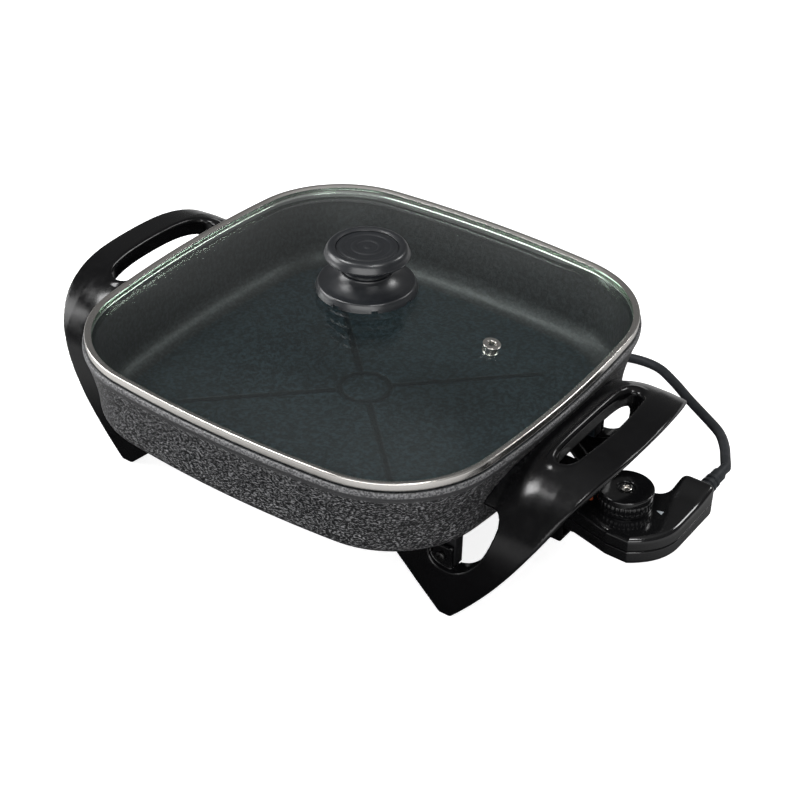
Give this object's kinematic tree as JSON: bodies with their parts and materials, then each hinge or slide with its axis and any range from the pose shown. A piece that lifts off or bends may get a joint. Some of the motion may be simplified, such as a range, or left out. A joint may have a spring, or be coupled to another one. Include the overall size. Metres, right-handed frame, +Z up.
{
  "type": "electric skillet",
  "caption": "Square non-stick electric skillet on two arched leg handles, with a domed glass lid and a plug-in heat control on a lead.",
  "frame": {"origin": "on the floor under the middle of the object, measured without the lead", "axes": "+X from the left handle to the heat control, -Y to the front, +Z up"},
  "size_m": [0.4496, 0.4322, 0.1737],
  "materials": {
    "coating": "cast aluminium with a black speckled non-stick coating",
    "element_steel": "heat-darkened tube sheath",
    "steel": "polished",
    "glass": "clear tempered glass",
    "phenolic": "black heat-proof moulding, satin",
    "housing": "black moulding, glossy",
    "rubber": "matt black",
    "brass": "bright contact brass",
    "ceramic": "pale insulating ceramic",
    "lens": "clear red lens"
  },
  "bodies": {
    "pan": {"pan_body": "coating", "heating_element": "element_steel", "terminal_pin_front": "steel", "terminal_pin_rear": "steel", "socket_guard": "phenolic", "guard_screw_front": "steel", "guard_screw_rear": "steel", "right_handle": "phenolic", "left_handle": "phenolic", "handle_screw_1": "steel", "handle_screw_2": "steel", "handle_screw_3": "steel", "handle_screw_4": "steel"},
    "lid": {"lid_glass": "glass", "lid_rim": "steel", "vent_grommet": "steel", "knob_base": "phenolic", "knob_grip": "phenolic", "knob_cap": "phenolic", "knob_seal": "rubber", "knob_washer": "steel", "knob_screw": "steel"},
    "heat_control": {"probe_upper_shell": "housing", "probe_lower_shell": "housing", "shell_screw_1": "steel", "shell_screw_2": "steel", "shell_screw_3": "steel", "probe_rod": "steel", "contact_sleeve_front": "brass", "contact_sleeve_rear": "brass", "thermostat_frame": "ceramic", "bimetal_blade": "steel", "contact_blade": "brass", "lamp_lens": "lens", "strain_relief": "rubber", "cord": "rubber", "cord_coil": "rubber", "cord_tie": "rubber", "plug_body": "rubber", "plug_pin_front": "steel", "plug_pin_rear": "steel"},
    "dial": {"dial": "housing", "dial_shaft": "steel", "dial_screw": "steel"}
  },
  "joints": [
    {"name": "lid_lift", "type": "slide", "parent": "pan", "child": "lid", "axis": [0, 0, 1], "range_m": [0, 0.12]},
    {"name": "probe_pull", "type": "slide", "parent": "pan", "child": "heat_control", "axis": [1, 0, 0], "range_m": [0, 0.1]},
    {"name": "dial_turn", "type": "hinge", "parent": "heat_control", "child": "dial", "pos_m": [0.18585, 0, 0.06], "axis": [0, 0, -1], "range_deg": [0, 270]}
  ]
}
